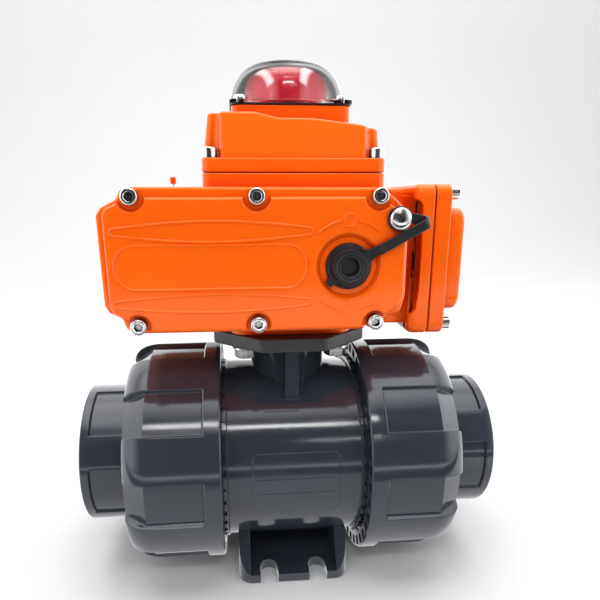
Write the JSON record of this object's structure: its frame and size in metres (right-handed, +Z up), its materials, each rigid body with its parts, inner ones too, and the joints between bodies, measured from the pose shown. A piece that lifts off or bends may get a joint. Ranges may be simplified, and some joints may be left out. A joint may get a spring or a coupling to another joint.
{
  "type": "motorised ball valve",
  "caption": "Quarter-turn electric actuator with a domed position indicator, bolted on a plastic true-union ball valve with two union nuts, plain pipe sockets and a slotted foot.",
  "frame": {"origin": "on the stem axis, at the underside of the valve's foot", "axes": "+X along the pipe towards the wiring end of the actuator, -Y is the front with the gearbox cover, +Z up the stem towards the indicator dome"},
  "size_m": [0.2668, 0.1472, 0.3229],
  "materials": {
    "valve_plastic": "glossy dark grey moulded uPVC",
    "seat_plastic": "white PTFE",
    "seal_rubber": "matte black rubber",
    "orange_paint": "glossy orange powder coat on cast aluminium",
    "plate_black": "matte black coated steel",
    "clear_window": "clear smoke-tinted polycarbonate",
    "indicator_red": "glossy red plastic",
    "stainless": "bright stainless steel",
    "gear_steel": "machined steel",
    "wheel_bronze": "machined bronze",
    "motor_steel": "zinc-plated steel",
    "plate_zinc": "zinc-plated sheet",
    "board_green": "green circuit board",
    "switch_black": "black moulded plastic",
    "cam_plastic": "white acetal"
  },
  "bodies": {
    "frame": {"valve_body": "valve_plastic", "seat_retainer": "valve_plastic", "seat_left": "seat_plastic", "seat_right": "seat_plastic", "face_seal_left": "seal_rubber", "face_seal_right": "seal_rubber", "mounting_plate": "plate_black", "actuator_housing": "orange_paint", "front_cover": "orange_paint", "top_cover": "orange_paint", "terminal_cover": "orange_paint", "indicator_dome": "clear_window", "override_strap": "seal_rubber", "cable_entry_plug_1": "switch_black", "cable_entry_plug_2": "switch_black", "motor": "motor_steel", "gear_plate": "plate_zinc", "circuit_board": "board_green", "switch_plate": "plate_zinc", "limit_switch_open": "switch_black", "limit_switch_close": "switch_black", "strap_screw": "stainless", "front_cover_screw_1": "stainless", "front_cover_screw_2": "stainless", "front_cover_screw_3": "stainless", "front_cover_screw_4": "stainless", "front_cover_screw_5": "stainless", "front_cover_screw_6": "stainless", "top_cover_bolt_1": "stainless", "top_cover_bolt_2": "stainless", "top_cover_bolt_3": "stainless", "top_cover_bolt_4": "stainless", "dome_screw_1": "stainless", "dome_screw_2": "stainless", "dome_screw_3": "stainless", "dome_screw_4": "stainless", "terminal_cover_bolt_1": "stainless", "terminal_cover_bolt_2": "stainless", "terminal_cover_bolt_3": "stainless", "terminal_cover_bolt_4": "stainless", "mounting_bolt_1": "stainless", "mounting_bolt_2": "stainless", "mounting_bolt_3": "stainless", "mounting_bolt_4": "stainless"},
    "drive": {"output_shaft": "gear_steel", "worm_wheel": "wheel_bronze", "cam_open": "cam_plastic", "cam_close": "cam_plastic", "indicator_drum": "indicator_red", "valve_stem": "valve_plastic", "ball": "valve_plastic"},
    "worm": {"worm_shaft": "gear_steel", "worm_gear": "gear_steel"},
    "idler": {"idler_gear": "gear_steel"},
    "pinion": {"motor_pinion": "gear_steel"},
    "plug": {"override_plug": "seal_rubber"},
    "left_connector": {"left_end_connector": "valve_plastic"},
    "right_connector": {"right_end_connector": "valve_plastic"},
    "left_nut": {"left_union_nut": "valve_plastic"},
    "right_nut": {"right_union_nut": "valve_plastic"}
  },
  "joints": [
    {"name": "quarter_turn", "type": "hinge", "parent": "frame", "child": "drive", "pos_m": [0, 0, 0.211], "axis": [0, 0, -1], "range_deg": [0, 90]},
    {"name": "worm_spin", "type": "hinge", "parent": "frame", "child": "worm", "pos_m": [0.028, 0, 0.211], "axis": [0, 1, 0], "range_deg": [0, 2342]},
    {"name": "idler_spin", "type": "hinge", "parent": "frame", "child": "idler", "pos_m": [-0.022, 0.037, 0.211], "axis": [0, 1, 0], "range_deg": [-2537, 0]},
    {"name": "motor_pinion_spin", "type": "hinge", "parent": "frame", "child": "pinion", "pos_m": [-0.056, 0.037, 0.211], "axis": [0, 1, 0], "range_deg": [0, 6086]},
    {"name": "override_plug_pull", "type": "slide", "parent": "frame", "child": "plug", "axis": [0, -1, 0], "range_m": [0, 0.018]},
    {"name": "left_union_slide", "type": "slide", "parent": "frame", "child": "left_connector", "axis": [-1, 0, 0], "range_m": [0, 0.03]},
    {"name": "right_union_slide", "type": "slide", "parent": "frame", "child": "right_connector", "axis": [1, 0, 0], "range_m": [0, 0.03]},
    {"name": "left_nut_spin", "type": "hinge", "parent": "left_connector", "child": "left_nut", "pos_m": [-0.07, 0, 0.077], "axis": [-1, 0, 0], "range_deg": [0, 1802]},
    {"name": "right_nut_spin", "type": "hinge", "parent": "right_connector", "child": "right_nut", "pos_m": [0.07, 0, 0.077], "axis": [1, 0, 0], "range_deg": [0, 1802]}
  ],
  "couplings": [
    {"joint": "worm_spin", "follows": "quarter_turn", "ratio": 26},
    {"joint": "idler_spin", "follows": "quarter_turn", "ratio": -28.167},
    {"joint": "motor_pinion_spin", "follows": "quarter_turn", "ratio": 67.6},
    {"joint": "left_nut_spin", "follows": "left_union_slide", "rad_per_m": 1047.2},
    {"joint": "right_nut_spin", "follows": "right_union_slide", "rad_per_m": 1047.2}
  ]
}
